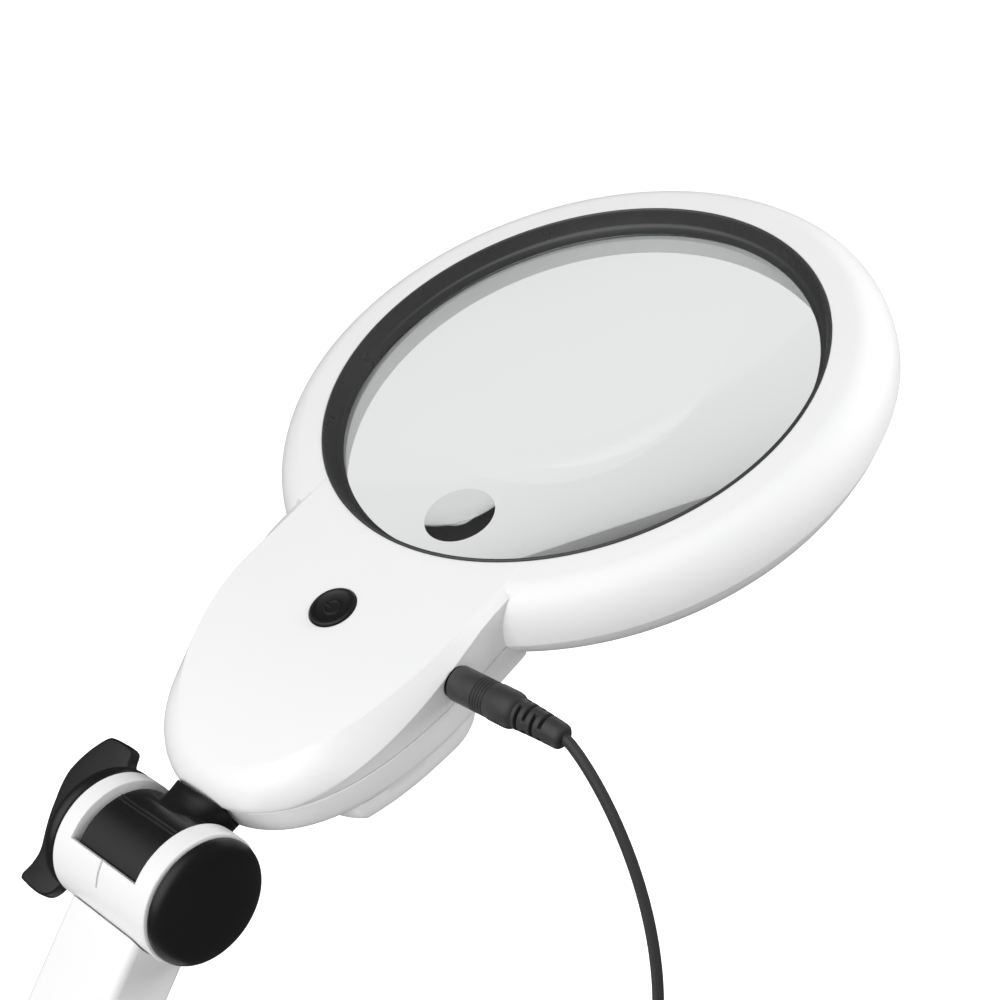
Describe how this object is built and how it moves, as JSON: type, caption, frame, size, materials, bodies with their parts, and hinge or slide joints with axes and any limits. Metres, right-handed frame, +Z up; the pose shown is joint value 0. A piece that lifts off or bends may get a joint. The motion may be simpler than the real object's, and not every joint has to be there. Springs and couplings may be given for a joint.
{
  "type": "magnifying lamp",
  "caption": "Desk magnifying lamp: round lit lens head with handle, folding single arm with knob hinges, weighted oval base and a plug-in power lead.",
  "frame": {"origin": "centre of the non-slip pad's underside, on the desk", "axes": "+X is the reach from the base towards the lens, +Z is up, and both hinges turn about Y with their wing knobs on the +Y side"},
  "size_m": [0.3866, 0.1941, 0.3377],
  "materials": {
    "white_plastic": "satin gloss white moulding",
    "black_plastic": "satin black moulding",
    "black_rubber": "matt black flexible moulding",
    "clear_lens": "polished clear lens",
    "frosted_plastic": "frosted light cover",
    "plated_steel": "bright plated",
    "cast_iron": "as cast, painted dark",
    "grip_foam": "dark non-slip foam sheet",
    "fibre_washer": "pressed fibre",
    "circuit_board": "green lacquered board",
    "light_board": "white lacquered board",
    "battery_sleeve": "plain coloured sleeve"
  },
  "bodies": {
    "base": {"base_pad": "grip_foam", "base_plate": "black_plastic", "base_weight": "cast_iron", "base_cover": "white_plastic", "base_neck": "black_plastic", "base_screw_1": "plated_steel", "base_screw_2": "plated_steel", "base_screw_3": "plated_steel", "base_screw_4": "plated_steel", "neck_screw_1": "plated_steel", "neck_screw_2": "plated_steel"},
    "arm": {"arm_tube": "white_plastic", "arm_screw_lower": "plated_steel", "arm_screw_upper": "plated_steel", "lower_hinge_housing": "white_plastic", "lower_hinge_cap": "black_plastic", "lower_hinge_nut": "plated_steel", "lower_hinge_washer_left": "fibre_washer", "lower_hinge_washer_right": "fibre_washer", "upper_hinge_housing": "white_plastic", "upper_hinge_cap": "black_plastic", "upper_hinge_nut": "plated_steel", "upper_hinge_washer_left": "fibre_washer", "upper_hinge_washer_right": "fibre_washer"},
    "lower_knob": {"lower_hinge_knob": "black_plastic", "lower_hinge_stud": "plated_steel"},
    "upper_knob": {"upper_hinge_knob": "black_plastic", "upper_hinge_stud": "plated_steel"},
    "head": {"head_upper_shell": "white_plastic", "head_lower_shell": "white_plastic", "lens_bezel": "black_plastic", "main_lens": "clear_lens", "inset_lens": "clear_lens", "led_board": "light_board", "led_diffuser": "frosted_plastic", "control_board": "circuit_board", "tact_switch": "black_plastic", "dc_jack": "black_plastic", "battery_1": "battery_sleeve", "battery_2": "battery_sleeve", "battery_3": "battery_sleeve", "battery_spring_1": "plated_steel", "battery_spring_2": "plated_steel", "battery_spring_3": "plated_steel", "battery_contact_front": "plated_steel", "battery_contact_rear": "plated_steel", "head_screw_1": "plated_steel", "head_screw_2": "plated_steel", "head_screw_3": "plated_steel", "head_screw_4": "plated_steel", "head_neck": "black_plastic"},
    "button": {"power_button": "black_plastic"},
    "battery_door": {"battery_cover": "white_plastic"},
    "plug_pin": {"plug_contact": "plated_steel"},
    "plug": {"plug_grip": "black_rubber"},
    "lead": {"strain_relief": "black_rubber", "power_lead": "black_rubber", "usb_plug_grip": "black_rubber", "usb_plug_shell": "plated_steel"}
  },
  "joints": [
    {"name": "arm_tilt", "type": "hinge", "parent": "base", "child": "arm", "pos_m": [-0.052, 0, 0.047], "axis": [0, 1, 0], "range_deg": [-80, 15]},
    {"name": "head_tilt", "type": "hinge", "parent": "arm", "child": "head", "pos_m": [0.06755, 0, 0.21965], "axis": [0, 1, 0], "range_deg": [-70, 30]},
    {"name": "lower_knob_turn", "type": "hinge", "parent": "arm", "child": "lower_knob", "pos_m": [-0.052, 0, 0.047], "axis": [0, 1, 0], "range_deg": [0, 180]},
    {"name": "upper_knob_turn", "type": "hinge", "parent": "arm", "child": "upper_knob", "pos_m": [0.06755, 0, 0.21965], "axis": [0, 1, 0], "range_deg": [0, 180]},
    {"name": "button_press", "type": "slide", "parent": "head", "child": "button", "axis": [0.4226, 0, -0.9063], "range_m": [0, 0.0012], "stiffness_N_per_m": 800},
    {"name": "battery_cover_lift", "type": "slide", "parent": "head", "child": "battery_door", "axis": [0.4226, 0, -0.9063], "range_m": [0, 0.025]},
    {"name": "plug_pull", "type": "slide", "parent": "head", "child": "plug_pin", "axis": [0, -1, 0], "range_m": [0, 0.014]},
    {"name": "plug_swivel", "type": "hinge", "parent": "plug_pin", "child": "plug", "pos_m": [0.1285, -0.0387, 0.25883], "axis": [0, 1, 0], "range_deg": [-31, 71]},
    {"name": "lead_swivel", "type": "hinge", "parent": "plug", "child": "lead", "pos_m": [0.1285, -0.0387, 0.25883], "axis": [0, 1, 0], "range_deg": [-16, 81]}
  ],
  "couplings": [
    {"joint": "plug_swivel", "follows": "head_tilt", "ratio": -1},
    {"joint": "lead_swivel", "follows": "arm_tilt", "ratio": -1}
  ]
}
